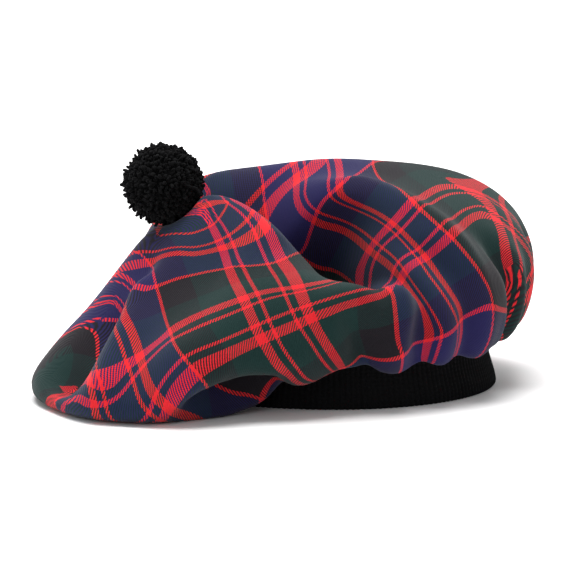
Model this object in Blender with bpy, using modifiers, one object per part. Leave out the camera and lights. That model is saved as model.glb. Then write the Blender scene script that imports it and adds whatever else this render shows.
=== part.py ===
"""A tartan tam o'shanter lying on its knitted headband, its full crown pulled over to one side.

Lengths are metres and +Z is up. The origin is on the surface that the hat rests on, under the middle
of its outline seen from above. The pieces are modelled round the centre of the headband and moved
there at the end. The crown is one round of cloth, gathered at its edge into the top of the headband
and tied at its middle to the toorie, the woollen ball. It sags to the surface on the -X side.
"""

import math
from collections import namedtuple

import bmesh
import bpy
import numpy as np
from mathutils import Vector

# The knitted headband
BAND_RADIUS = 0.0825
BAND_HEIGHT = 0.032
BAND_WALL = 0.0034
BAND_WAIST = 0.0042
BAND_HEM_ROUND = 0.0010

# The crown's cloth
CLOTH_WALL = 0.0016
CLOTH_RADIUS = 0.225
CROWN_HEIGHT = 0.100
CROWN_OVERHANG = 0.088
FOLD_DEPTH = 0.030
FOLD_WIDTH = 0.026
GATHER_DEPTH = 0.0026
GATHER_COUNT = 20
SEAM_LIP = 0.0025

# The toorie, and the place where it is tied on, measured from the centre of the headband
TOORIE_RADIUS = 0.0210
TOORIE_LOCK = 0.0030
TOORIE_SEAT_X = -0.075
TOORIE_SEAT_Y = -0.015
TOORIE_LEAN = (-0.42, -0.36, 0.83)
TOORIE_ROOM = 0.0008
SEAT_DIMPLE_DEPTH = 0.014
SEAT_DIMPLE_RADIUS = 0.012

# The gap between pieces that are sewn or tied together
CLEARANCE = 0.0003

# How finely the pieces are faceted
SPOKES = 120
RINGS = 20
BAND_SEGMENTS = 48

# One row for each section of the crown, going round the headband.
# seam and rim: degrees round the headband where the section is sewn, and where it turns under.
# overhang: how far the rim stands out past the headband, as a share of CROWN_OVERHANG.
# rim_height and low: heights of the rim and of the underside, as shares of CROWN_HEIGHT.
# fullness: 1 for a straight slope from toorie to rim, up to 7 for a flat top with a tight shoulder.
Section = namedtuple("Section", "seam rim overhang rim_height low fullness")
SECTIONS = (
    Section(-173, -161, 0.82, 0.05, -0.04, 0.86),
    Section(-158, -146, 0.95, 0.04, -0.04, 0.88),
    Section(-147, -135, 0.98, 0.04, -0.05, 0.92),
    Section(-134, -126, 0.88, 0.06, -0.08, 1.00),
    Section(-120, -116, 0.67, 0.20, -0.14, 1.12),
    Section(-105, -108, 0.43, 0.34, -0.05, 1.30),
    Section(-88, -92, 0.27, 0.40, 0.12, 2.10),
    Section(-68, -71, 0.15, 0.46, 0.10, 3.00),
    Section(-52, -56, 0.16, 0.46, 0.13, 3.80),
    Section(-33, -36, 0.18, 0.53, 0.12, 5.00),
    Section(0, 0, 0.185, 0.60, 0.18, 7.50),
    Section(40, 38, 0.33, 0.55, 0.14, 6.00),
    Section(75, 70, 0.37, 0.45, 0.12, 4.50),
    Section(110, 111, 0.34, 0.32, 0.06, 3.00),
    Section(147, 148, 0.52, 0.16, -0.06, 1.30),
    Section(170, 172, 0.61, 0.08, -0.06, 0.92),
)

# One row for each ridge or valley of the crown. It runs between two points of the cloth, each given by
# degrees round the headband and a share of the way from toorie to seam. width and depth are shares of
# FOLD_WIDTH and FOLD_DEPTH, and a valley's depth is negative.
Fold = namedtuple("Fold", "name seam_a way_a seam_b way_b width depth")
FOLDS = (
    Fold("dent beside the toorie", -26, 0.16, -64, 0.50, 1.00, -1.00),
    Fold("swell of the top", -10, 0.44, 70, 0.44, 2.20, 0.23),
    Fold("ridge behind the dent", -4, 0.16, -34, 0.62, 0.50, 0.20),
    Fold("ridge before the dent", -84, 0.14, -90, 0.50, 0.60, 0.22),
    Fold("swell below the dent", -84, 0.62, -56, 0.62, 0.80, 0.30),
    Fold("pocket in the left slope", -150, 0.28, -155, 0.47, 0.46, -0.42),
    Fold("lip of the pocket", -168, 0.28, -166, 0.54, 0.42, 0.12),
    Fold("hollow under the front lobe", -124, 0.68, -118, 0.86, 0.62, -0.50),
    Fold("front lobe", -108, 0.46, -104, 0.70, 0.70, 0.18),
    Fold("small front hollow", -76, 0.74, -76, 0.84, 0.38, -0.24),
    Fold("tuck at the right", -22, 0.60, -20, 0.90, 0.34, -0.26),
    Fold("tuck at the far right", 12, 0.66, 10, 0.90, 0.34, -0.22),
    Fold("fold at the back left", 130, 0.40, 134, 0.86, 0.60, -0.36),
    Fold("fold at the back", 88, 0.52, 88, 0.88, 0.60, -0.26),
)


def round_the_crown(column, seam):
    """A column of SECTIONS at the angles seam, by a smooth curve that closes after a whole turn."""
    knots = np.array([s.seam for s in SECTIONS], float)
    values = np.array([getattr(s, column) for s in SECTIONS], float)
    lap = 360.0 if column == "rim" else 0.0
    knots = np.concatenate([knots[-2:] - 360, knots, knots[:3] + 360])
    values = np.concatenate([values[-2:] - lap, values, values[:3] + lap])
    slopes = (values[2:] - values[:-2]) / (knots[2:] - knots[:-2])
    seam = (np.asarray(seam, float) - knots[1]) % 360 + knots[1]
    k = np.clip(np.searchsorted(knots, seam, side="right") - 1, 1, len(knots) - 3)
    span = knots[k + 1] - knots[k]
    x = (seam - knots[k]) / span
    return (
        values[k] * (1 + 2 * x) * (1 - x) ** 2
        + values[k + 1] * (3 - 2 * x) * x**2
        + slopes[k - 1] * span * x * (1 - x) ** 2
        + slopes[k] * span * (x - 1) * x**2
    )


def toorie_centre():
    """The ball's centre. Its plain head rests on the middle of the cloth and leans off it."""
    lean = np.array(TOORIE_LEAN) / np.linalg.norm(TOORIE_LEAN)
    seat = np.array([TOORIE_SEAT_X, TOORIE_SEAT_Y, CROWN_HEIGHT - SEAT_DIMPLE_DEPTH])
    return seat + lean * (TOORIE_RADIUS - TOORIE_LOCK + CLEARANCE + CLOTH_WALL / 2)


def meridians(seam, steps=60):
    """The crown from toorie to headband at each angle: out over the top, then back under the rim."""
    angle = np.radians(seam)[:, None]
    turn = np.radians(round_the_crown("rim", seam))[:, None]
    reach = BAND_RADIUS + CROWN_OVERHANG * round_the_crown("overhang", seam)[:, None]
    rim_z = CROWN_HEIGHT * round_the_crown("rim_height", seam)[:, None]
    low_z = CROWN_HEIGHT * round_the_crown("low", seam)[:, None]
    power = round_the_crown("fullness", seam)[:, None]
    seat_x, seat_y = TOORIE_SEAT_X, TOORIE_SEAT_Y
    rim_x, rim_y = reach * np.cos(turn), reach * np.sin(turn)

    # Over the top: the height falls from the toorie to the rim as a power curve.
    s = np.sin(np.linspace(0, math.pi / 2, steps))[None, :]
    top_x = seat_x + (rim_x - seat_x) * s
    top_y = seat_y + (rim_y - seat_y) * s
    root = 1 + (power - 1) / 6
    top_z = rim_z + (CROWN_HEIGHT - rim_z) * np.maximum(1 - s**power, 0) ** (1 / root)
    run = np.hypot(top_x - seat_x, top_y - seat_y)
    top_z = top_z - SEAT_DIMPLE_DEPTH * np.exp(-((run / SEAT_DIMPLE_RADIUS) ** 2))

    # Under the rim: a cubic curve that drops to the underside's height and comes in to the headband.
    neck_r = BAND_RADIUS - BAND_WAIST + SEAM_LIP
    seam_z = BAND_HEIGHT + CLEARANCE + CLOTH_WALL / 2
    neck_x, neck_y = neck_r * np.cos(angle), neck_r * np.sin(angle)
    w = np.linspace(0, 1, steps)[None, 1:]
    under = (
        (rim_x, rim_x, neck_x + 0.15 * (rim_x - neck_x), neck_x),
        (rim_y, rim_y, neck_y + 0.15 * (rim_y - neck_y), neck_y),
        (rim_z, low_z + 0.3 * (rim_z - low_z), low_z, seam_z),
    )
    weights = ((1 - w) ** 3, 3 * w * (1 - w) ** 2, 3 * w**2 * (1 - w), w**3)
    under_x, under_y, under_z = (
        sum(weight * point for weight, point in zip(weights, axis)) for axis in under
    )

    return np.stack(
        [
            np.concatenate([top_x, under_x], axis=1),
            np.concatenate([top_y, under_y], axis=1),
            np.concatenate([top_z, under_z], axis=1),
        ],
        axis=2,
    )


def seam_ring(seam):
    """The cloth's edge, sewn down over the top of the headband."""
    angle = np.radians(seam)
    seam_r = BAND_RADIUS - BAND_WAIST - BAND_WALL
    height = np.full_like(angle, BAND_HEIGHT + CLEARANCE + CLOTH_WALL / 2)
    return np.stack([seam_r * np.cos(angle), seam_r * np.sin(angle), height], axis=1)


def at_shares(lines, shares):
    """Points of each line at the given shares of its length."""
    steps = np.linalg.norm(np.diff(lines, axis=1), axis=2)
    length = np.concatenate([np.zeros((len(lines), 1)), np.cumsum(steps, axis=1)], axis=1)
    points = np.empty((len(lines), len(shares), 3))
    for row, (line, run) in enumerate(zip(lines, length)):
        for axis in range(3):
            points[row, :, axis] = np.interp(shares * run[-1], run, line[:, axis])
    return points


def smooth_step(x):
    x = np.clip(x, 0, 1)
    return x * x * (3 - 2 * x)


def fold_height(seam, way):
    """How far the folds lift the cloth, at degrees round the headband and shares of the way to the seam."""
    spot = np.stack([np.cos(np.radians(seam)), np.sin(np.radians(seam))], -1)
    spot = spot * (way * CLOTH_RADIUS)[..., None]
    lift = np.zeros(spot.shape[:-1])
    for fold in FOLDS:
        a, b = (
            CLOTH_RADIUS * share * np.array([math.cos(math.radians(d)), math.sin(math.radians(d))])
            for d, share in ((fold.seam_a, fold.way_a), (fold.seam_b, fold.way_b))
        )
        along = np.clip(((spot - a) @ (b - a)) / ((b - a) @ (b - a)), 0, 1)
        away = np.linalg.norm(spot - a - along[..., None] * (b - a), axis=-1)
        lift += FOLD_DEPTH * fold.depth * np.exp(-((away / (FOLD_WIDTH * fold.width)) ** 2))
    return lift


def gather_height(seam, way):
    """The small ruffles where the cloth is drawn in, which die out at the seam and up the crown."""
    strength = smooth_step((way - 0.62) / 0.24) * smooth_step((0.965 - way) / 0.06)
    return GATHER_DEPTH * strength * np.cos(np.radians(seam) * GATHER_COUNT)


def crown_surface(spokes, rings):
    """The middle of the crown's cloth, as a grid of spokes by rings, without the pole."""
    seam = np.linspace(-180, 180, spokes, endpoint=False)
    even = np.linspace(0, 1, rings)
    way = even - 0.45 * np.sin(2 * math.pi * even) / (2 * math.pi)
    points = at_shares(meridians(seam), way)
    out = np.gradient(points, axis=1)
    across = np.roll(points, -1, axis=0) - np.roll(points, 1, axis=0)
    normal = np.cross(out, across)
    normal /= np.maximum(np.linalg.norm(normal, axis=2, keepdims=True), 1e-12)
    seams, ways = np.meshgrid(seam, way, indexing="ij")
    sewn_down = smooth_step((1 - ways) / 0.08) * smooth_step(ways / 0.10)
    lift = fold_height(seams, ways) * sewn_down + gather_height(seams, ways)
    points = points + normal * lift[..., None]

    # The cloth bends away round the toorie, except at the middle, where it is tied to it.
    away = points - toorie_centre()
    distance = np.linalg.norm(away, axis=2, keepdims=True)
    clear = TOORIE_RADIUS + CLOTH_WALL / 2 + TOORIE_ROOM
    pushed = toorie_centre() + away * np.maximum(clear / distance, 1)
    points[:, 1:] = pushed[:, 1:]

    # Cloth that would hang below the surface lies flat on it.
    floor_z, ease = CLOTH_WALL / 2, 0.0008
    points[..., 2] = floor_z + ease * np.logaddexp(0, (points[..., 2] - floor_z) / ease)
    return np.concatenate([points, seam_ring(seam)[:, None]], axis=1)


def finish(name, mesh_object, colour, roughness):
    """Names the object and gives it its material and smooth shading."""
    mesh_object.name = name
    material = bpy.data.materials.new(name)
    material.use_nodes = True
    shader = material.node_tree.nodes["Principled BSDF"]
    shader.inputs["Base Color"].default_value = (*colour, 1)
    shader.inputs["Roughness"].default_value = roughness
    shader.inputs["Metallic"].default_value = 0.0
    mesh_object.data.materials.append(material)
    mesh_object.data.shade_smooth()
    return mesh_object


def new_object(name, collection, vertices, faces):
    mesh = bpy.data.meshes.new(name)
    mesh.from_pydata([tuple(v) for v in vertices], [], faces)
    mesh.update()
    made = bpy.data.objects.new(name, mesh)
    collection.objects.link(made)
    return made


def make_crown(collection):
    """The round of cloth: a loft through the crown's sections, given its thickness by Solidify."""
    points = crown_surface(SPOKES, RINGS)
    pole = points[:, 0].mean(axis=0)
    ring_points = points[:, 1:].reshape(-1, 3)
    spoke = np.arange(SPOKES)
    after = (spoke + 1) % SPOKES
    faces = [(0, 1 + i * RINGS, 1 + j * RINGS) for i, j in zip(spoke, after)]
    for ring in range(RINGS - 1):
        near, far = 1 + spoke * RINGS + ring, 1 + after * RINGS + ring
        faces += [tuple(map(int, f)) for f in zip(near, near + 1, far + 1, far)]
    crown = new_object("crown", collection, np.vstack([pole, ring_points]), faces)
    wall = crown.modifiers.new("Cloth", "SOLIDIFY")
    wall.thickness = CLOTH_WALL
    wall.offset = 0
    return finish("crown", crown, (0.10, 0.03, 0.05), 0.85)


def make_headband(collection):
    """The rib-knit band: a closed profile of its folded wall, turned round the head opening."""
    half = BAND_WALL / 2
    hem, waist = BAND_RADIUS - half, BAND_RADIUS - half - BAND_WAIST
    rise = BAND_HEIGHT - 2 * BAND_HEM_ROUND
    heights = [BAND_HEM_ROUND + rise * share for share in (0, 0.25, 0.55, 1)]
    radii = [hem, hem - 0.25 * BAND_WAIST, waist, waist]
    outside = [(r + half, z) for r, z in zip(radii, heights)]
    inside = [(r - half, z) for r, z in zip(radii, heights)]
    profile = [
        (waist + half - BAND_HEM_ROUND, BAND_HEIGHT),
        *reversed(outside),
        (hem + half - BAND_HEM_ROUND, 0),
        (hem - half + BAND_HEM_ROUND, 0),
        *inside,
        (waist - half + BAND_HEM_ROUND, BAND_HEIGHT),
    ]
    points = [(r, 0, z) for r, z in profile]
    edges = [(i, (i + 1) % len(points)) for i in range(len(points))]
    mesh = bpy.data.meshes.new("headband")
    mesh.from_pydata(points, edges, [])
    band = bpy.data.objects.new("headband", mesh)
    collection.objects.link(band)
    screw = band.modifiers.new("Turn", "SCREW")
    screw.steps = screw.render_steps = BAND_SEGMENTS
    screw.use_merge_vertices = True
    screw.merge_threshold = 1e-5
    return finish("headband", band, (0.012, 0.012, 0.014), 0.9)


def make_toorie(collection):
    """The woollen ball: cut locks, one on each face of a round head, which is plain at its seat."""
    lean = Vector(TOORIE_LEAN).normalized()
    head = TOORIE_RADIUS - TOORIE_LOCK
    ball = bmesh.new()
    bmesh.ops.create_icosphere(ball, subdivisions=3, radius=head)
    seat_spread = 0.80
    locks = [f for f in ball.faces if f.normal.dot(-lean) < seat_spread]
    poked = bmesh.ops.poke(ball, faces=locks)
    random = np.random.default_rng(7)
    for tip in poked["verts"]:
        length = TOORIE_LOCK * random.uniform(0.6, 1.0)
        tip.co = tip.co.normalized() * (head + length)
    bmesh.ops.translate(ball, verts=ball.verts, vec=Vector(toorie_centre()))
    mesh = bpy.data.meshes.new("toorie")
    ball.to_mesh(mesh)
    ball.free()
    toorie = bpy.data.objects.new("toorie", mesh)
    collection.objects.link(toorie)
    return finish("toorie", toorie, (0.010, 0.010, 0.011), 0.95)


def centre_on_the_origin(pieces):
    """Moves the hat level, so that the middle of its outline seen from above is at the origin."""
    graph = bpy.context.evaluated_depsgraph_get()
    corners = [Vector(c) for piece in pieces for c in piece.evaluated_get(graph).bound_box]
    middle = [(min(c[i] for c in corners) + max(c[i] for c in corners)) / 2 for i in (0, 1)]
    for piece in pieces:
        piece.location = (-middle[0], -middle[1], 0)


def main():
    for old in list(bpy.data.objects):
        bpy.data.objects.remove(old)
    collection = bpy.data.collections.new("tam_o_shanter")
    bpy.context.scene.collection.children.link(collection)
    pieces = [make(collection) for make in (make_crown, make_headband, make_toorie)]
    centre_on_the_origin(pieces)


main()
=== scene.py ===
# %% [markdown]
# # A tartan tam o'shanter
#
# The hat is three things: a big round of tartan wool, the knitted band that its edge is gathered
# into, and the woollen ball, or toorie, tied to its middle. It lies on a pale table with its crown
# pulled over to one side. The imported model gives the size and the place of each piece.

# %% Load the frame
import math
from collections import namedtuple

import bmesh
import bpy
import numpy as np
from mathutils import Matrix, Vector


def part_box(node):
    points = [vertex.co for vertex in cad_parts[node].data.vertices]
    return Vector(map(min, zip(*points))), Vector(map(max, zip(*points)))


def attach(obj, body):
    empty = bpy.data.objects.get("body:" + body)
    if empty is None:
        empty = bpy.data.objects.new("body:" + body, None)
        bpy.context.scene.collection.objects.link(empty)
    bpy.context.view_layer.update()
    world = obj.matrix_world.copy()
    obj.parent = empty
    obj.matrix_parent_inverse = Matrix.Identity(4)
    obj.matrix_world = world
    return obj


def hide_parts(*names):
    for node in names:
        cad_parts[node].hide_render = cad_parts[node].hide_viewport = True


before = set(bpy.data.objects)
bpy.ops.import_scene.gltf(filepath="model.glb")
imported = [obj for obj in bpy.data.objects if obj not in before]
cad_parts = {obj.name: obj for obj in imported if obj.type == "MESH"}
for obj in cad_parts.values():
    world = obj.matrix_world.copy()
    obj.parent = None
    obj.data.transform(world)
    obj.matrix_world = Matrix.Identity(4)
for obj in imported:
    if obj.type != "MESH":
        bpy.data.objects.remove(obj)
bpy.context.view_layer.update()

BAND_LOW, BAND_HIGH = (np.array(corner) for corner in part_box("headband"))
TOORIE_LOW, TOORIE_HIGH = (np.array(corner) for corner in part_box("toorie"))
CENTRE = np.array([*(BAND_LOW + BAND_HIGH)[:2] / 2, 0.0])
BAND_RADIUS = (BAND_HIGH - BAND_LOW)[0] / 2
BAND_HEIGHT = BAND_HIGH[2]
print("headband at", CENTRE.round(4), "radius", round(BAND_RADIUS, 4), "height", round(BAND_HEIGHT, 4))

# %% [markdown]
# ## Camera
#
# The camera stands well back with a long lens, so near and far sides keep nearly the same scale,
# and looks a little down on the hat. One pixel of the 570 pixel frame is half a millimetre at the
# hat. The aim point is placed from the headband, so everything below can be compared by pixel.

# %% Camera
FRAME_PIXELS = 570
PIXEL = 0.0005
VIEW_DISTANCE = 2.2
VIEW_DOWN = math.radians(8.7)
AIM_LEFT, AIM_UP = 0.0230, 0.0480
SENSOR = 36.0

look = np.array([0, math.cos(VIEW_DOWN), -math.sin(VIEW_DOWN)])
view_right = np.array([1.0, 0, 0])
view_up = np.cross(view_right, look)
aim = CENTRE - AIM_LEFT * view_right + AIM_UP * view_up
eye = aim - VIEW_DISTANCE * look

camera_data = bpy.data.cameras.new("camera")
camera_data.sensor_width = SENSOR
camera_data.lens = SENSOR * VIEW_DISTANCE / (FRAME_PIXELS * PIXEL)
camera = bpy.data.objects.new("camera", camera_data)
bpy.context.scene.collection.objects.link(camera)
camera.location = eye
camera.rotation_euler = Vector(look).to_track_quat("-Z", "Y").to_euler()
bpy.context.scene.camera = camera


def to_pixels(points):
    """Where points fall in the frame, and how far off they are: divide by depth, then by a pixel."""
    away = points - eye
    depth = away @ look
    scale = VIEW_DISTANCE / depth / PIXEL
    half = FRAME_PIXELS / 2
    across = half + (away @ view_right) * scale
    down = half - (away @ view_up) * scale
    return np.stack([across, down], -1), depth


print("lens", round(camera_data.lens), "mm")

# %% [markdown]
# ## Table and light
#
# A large pale floor, a wide soft light overhead and a weak one in front. Their size makes the
# shadow under the hat soft at its edge and dark only where the hat touches the table. A third light
# over the far floor keeps it as white as the near floor.

# %% Table and light
FLOOR_HALF = 3.0
ROOM_LIGHT = 0.5
floor_mesh = bpy.data.meshes.new("floor")
corners = [(x * FLOOR_HALF, y * FLOOR_HALF, 0) for x, y in ((-1, -1), (1, -1), (1, 1), (-1, 1))]
floor_mesh.from_pydata(corners, [], [(0, 1, 2, 3)])
floor = bpy.data.objects.new("floor", floor_mesh)
bpy.context.scene.collection.objects.link(floor)


def area_light(name, place, aimed_at, size, power):
    """A square light that faces the point it is aimed at."""
    data = bpy.data.lights.new(name, "AREA")
    data.size = size
    data.energy = power
    light = bpy.data.objects.new(name, data)
    light.location = place
    light.rotation_euler = (Vector(aimed_at) - Vector(place)).to_track_quat("-Z", "Y").to_euler()
    bpy.context.scene.collection.objects.link(light)
    return light


area_light("overhead", (-0.2, 0.1, 2.6), (0, 0.1, 0), 1.6, 82)
area_light("front", (-0.9, -1.7, 0.8), (0, 0, 0.05), 0.9, 5)
area_light("backdrop", (0, 2.5, 1.7), (0, 2.5, 0), 2.4, 60)

world = bpy.data.worlds.new("studio")
world.use_nodes = True
world.node_tree.nodes["Background"].inputs["Color"].default_value = (1, 1, 1, 1)
world.node_tree.nodes["Background"].inputs["Strength"].default_value = ROOM_LIGHT
bpy.context.scene.world = world
bpy.context.scene.view_settings.view_transform = "Standard"
print("lights", [light.name for light in bpy.data.lights])

# %% [markdown]
# ## Writing materials as sums
#
# Blender keeps a material as a web of nodes. A pattern like a tartan is arithmetic, so a small class
# wraps a node's output and turns each `+`, `*` or `<` into the Math node that does it. The floor's
# matt material is the first that these helpers make.


# %% Shader sums
class Socket:
    """A node's output that can be added, multiplied and compared, each time by a new Math node."""

    def __init__(self, tree, output):
        self.tree, self.output = tree, output

    def math(self, operation, *others):
        """This socket and others through one Math node."""
        return make_node(self.tree, "ShaderNodeMath", {"operation": operation}, [self, *others])

    def __add__(self, other):
        return self.math("ADD", other)

    def __sub__(self, other):
        return self.math("SUBTRACT", other)

    def __rsub__(self, other):
        return make_node(self.tree, "ShaderNodeMath", {"operation": "SUBTRACT"}, [other, self])

    def __mul__(self, other):
        return self.math("MULTIPLY", other)

    def __lt__(self, other):
        return self.math("LESS_THAN", other)

    __radd__, __rmul__ = __add__, __mul__


def make_node(tree, kind, settings, values, output=0):
    """Adds a node: first its settings, then its sockets' values or links. Gives back one output."""
    node = tree.nodes.new(kind)
    for name, value in settings.items():
        if name == "stops":
            ramp = node.color_ramp
            while len(ramp.elements) > 1:
                ramp.elements.remove(ramp.elements[-1])
            for index, (place, colour) in enumerate(value):
                element = ramp.elements[0] if index == 0 else ramp.elements.new(place)
                element.position, element.color = place, (*colour, 1)
        elif name == "interpolation":
            node.color_ramp.interpolation = value
        else:
            setattr(node, name, value)
    pairs = values.items() if isinstance(values, dict) else enumerate(values)
    for key, value in pairs:
        if isinstance(value, Socket):
            tree.links.new(value.output, node.inputs[key])
        else:
            node.inputs[key].default_value = value
    return Socket(tree, node.outputs[output])


def new_material(name, **constants):
    """A Principled material whose even qualities are set on the shader's own sockets."""
    material = bpy.data.materials.new(name)
    material.use_nodes = True
    shader = material.node_tree.nodes["Principled BSDF"]
    for key, value in constants.items():
        shader.inputs[key.replace("_", " ")].default_value = value
    return material, material.node_tree, shader


def connect(tree, socket, shader, name):
    """Links a socket to one of the shader's inputs."""
    tree.links.new(socket.output, shader.inputs[name])


floor_material, _, _ = new_material("pale_floor", Base_Color=(0.93, 0.93, 0.93, 1), Roughness=0.9)
floor_mesh.materials.append(floor_material)
print("material", floor_material.name)

# %% [markdown]
# ## The tartan
#
# Both sets of threads follow the same list of colours, counted out from a pivot and back again, so a
# ping-pong of the distance and one colour ramp hold the whole sett. In a two and two twill each
# thread goes over two and under two, a step further on each row. So where two colours cross, the eye
# sees fine slanting lines of both, and where a colour crosses itself, a solid square.
#
# Each row of `SETT` says at which count a colour starts. A count is `UNIT` metres of cloth, and a
# thread of the twill is `THREAD` metres.

# %% Tartan cloth
UNIT = 0.00082
THREAD = 0.00041
HALF_SETT = 114.0
TWILL = 4
NAVY = (0.014, 0.012, 0.066)
RED = (0.68, 0.016, 0.024)
BLACK = (0.009, 0.007, 0.010)
GREEN = (0.005, 0.023, 0.021)
SETT = (
    (0, NAVY),
    (8, RED),
    (10, NAVY),
    (14, RED),
    (20, NAVY),
    (44, RED),
    (46, BLACK),
    (70, GREEN),
    (94, RED),
    (100, GREEN),
    (104, RED),
    (106, GREEN),
)


def tartan():
    """Colour: the warp's where (column + row) modulo four is under one and a half, or else the weft's.

    Height: fine fibres, less twice the distance from the middle of the twill's slanting line.
    """
    material, tree, shader = new_material("tartan_cloth", Roughness=0.88)
    shader.inputs["Specular IOR Level"].default_value = 0.15
    shader.inputs["Sheen Weight"].default_value = 0.08
    shader.inputs["Sheen Roughness"].default_value = 0.5
    uv = make_node(tree, "ShaderNodeUVMap", {"uv_map": "cloth"}, [])
    split = uv.tree.nodes.new("ShaderNodeSeparateXYZ")
    tree.links.new(uv.output, split.inputs[0])
    warp_at, weft_at = Socket(tree, split.outputs[0]), Socket(tree, split.outputs[1])
    stops = [(start / HALF_SETT, colour) for start, colour in SETT]

    def thread_colour(place):
        """The sett's colour at a place, counted out from the pivot and back."""
        folded = place.math("PINGPONG", HALF_SETT) * (1 / HALF_SETT)
        return make_node(tree, "ShaderNodeValToRGB", {"interpolation": "CONSTANT", "stops": stops}, [folded])

    threads = UNIT / THREAD
    column = (warp_at * threads).math("FLOOR")
    row = (weft_at * threads).math("FLOOR")
    over = (column + row).math("FLOORED_MODULO", TWILL) < TWILL / 2 - 0.5
    colours = {0: over, 6: thread_colour(weft_at), 7: thread_colour(warp_at)}
    woven = make_node(tree, "ShaderNodeMix", {"data_type": "RGBA"}, colours, 2)
    connect(tree, woven, shader, "Base Color")
    slant = ((warp_at + weft_at) * (threads / TWILL)).math("FRACT") - 0.5
    place = Socket(tree, tree.nodes.new("ShaderNodeTexCoord").outputs["Object"])
    fibre = make_node(tree, "ShaderNodeTexNoise", {}, {"Vector": place, "Scale": 1800.0, "Detail": 2.0})
    weave = fibre * 0.5 - slant.math("ABSOLUTE") * 2.0
    bump = make_node(tree, "ShaderNodeBump", {}, {"Strength": 0.45, "Distance": 0.00025, "Height": weave})
    connect(tree, bump, shader, "Normal")
    return material


tartan_cloth = tartan()
print("tartan repeats every", round(2 * HALF_SETT * UNIT * 1000), "mm")

# %% [markdown]
# ## The crown
#
# The crown began as a flat round of cloth. Its shape is worked out as sections that run from the
# toorie, over the top, round under the rim and in to the headband. Each row of the table says what
# one section does, and the sections between follow a smooth curve round the hat.
#
# `seam` is the angle in degrees where the section meets the headband, and `rim` the angle of its
# widest point. `overhang` is a share of `CROWN_OVERHANG`, `rim_height` and `low` are shares of
# `CROWN_HEIGHT`, and a greater `fullness` gives a flatter top with a rounder rim. Folds and threads
# are laid out on a round of `CLOTH_RADIUS`. `CUT_RADIUS`, which the flat cut is given, is about 3 mm
# under the finished cloth's mean length from toorie to headband.

# %% Sections of the crown
CLOTH_WALL = 0.0016
CLOTH_RADIUS = 0.225
CROWN_HEIGHT = 0.100
CROWN_OVERHANG = 0.088
BAND_WAIST = 0.0042
BAND_WALL = 0.0034
SEAM_LIP, SEAM_RISE = 0.0025, 0.0003
SEAT = np.array([-0.075, -0.015])
SEAT_DIMPLE_DEPTH = 0.014
SEAT_DIMPLE_RADIUS = 0.012
WAIST_AT = 0.62
SHOULDER = 6
UNDER_BELLY = 0.3
UNDER_RUN = 0.15

Section = namedtuple("Section", "seam rim overhang rim_height low fullness")
SECTIONS = (
    Section(-173, -161, 0.84, 0.09, -0.22, 0.94),
    Section(-158, -146, 0.95, 0.09, -0.24, 0.96),
    Section(-147, -135, 0.97, 0.08, -0.24, 0.98),
    Section(-134, -126, 0.87, 0.09, -0.22, 1.04),
    Section(-120, -116, 0.66, 0.20, -0.20, 1.14),
    Section(-105, -108, 0.43, 0.34, -0.05, 1.30),
    Section(-88, -92, 0.27, 0.40, 0.12, 2.10),
    Section(-68, -71, 0.15, 0.46, 0.10, 2.60),
    Section(-52, -56, 0.16, 0.46, 0.13, 2.80),
    Section(-33, -36, 0.18, 0.53, 0.12, 3.30),
    Section(0, 0, 0.185, 0.60, 0.18, 6.50),
    Section(40, 38, 0.33, 0.55, 0.14, 4.50),
    Section(75, 70, 0.37, 0.45, 0.12, 3.40),
    Section(110, 111, 0.34, 0.32, 0.06, 2.50),
    Section(147, 148, 0.52, 0.18, -0.06, 1.30),
    Section(170, 172, 0.61, 0.10, -0.16, 0.95),
)
print(len(SECTIONS), "sections, cloth", CLOTH_WALL * 1000, "mm thick")


# %% Between the sections
def smooth_step(x):
    """From 0 to 1 as x does: three x squared less two x cubed."""
    x = np.clip(x, 0, 1)
    return x * x * (3 - 2 * x)


def waist(height):
    """How far the headband is drawn in at a height: a smooth step from the hem to the waist."""
    return BAND_WAIST * smooth_step(height / (WAIST_AT * BAND_HEIGHT))


def round_the_crown(column, seam):
    """A column of SECTIONS at the angles seam: cubic curves between the rows, closed on themselves."""
    knots = np.array([s.seam for s in SECTIONS], float)
    values = np.array([getattr(s, column) for s in SECTIONS], float)
    lap = 360.0 if column == "rim" else 0.0
    knots = np.concatenate([knots[-2:] - 360, knots, knots[:3] + 360])
    values = np.concatenate([values[-2:] - lap, values, values[:3] + lap])
    slopes = (values[2:] - values[:-2]) / (knots[2:] - knots[:-2])
    seam = (np.asarray(seam, float) - knots[1]) % 360 + knots[1]
    k = np.clip(np.searchsorted(knots, seam, side="right") - 1, 1, len(knots) - 3)
    span = knots[k + 1] - knots[k]
    x = (seam - knots[k]) / span
    return (
        values[k] * (1 + 2 * x) * (1 - x) ** 2
        + values[k + 1] * (3 - 2 * x) * x**2
        + slopes[k - 1] * span * x * (1 - x) ** 2
        + slopes[k] * span * (x - 1) * x**2
    )


print("widest point at the front, in degrees:", round_the_crown("rim", [-90.0]).round(1))


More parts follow.
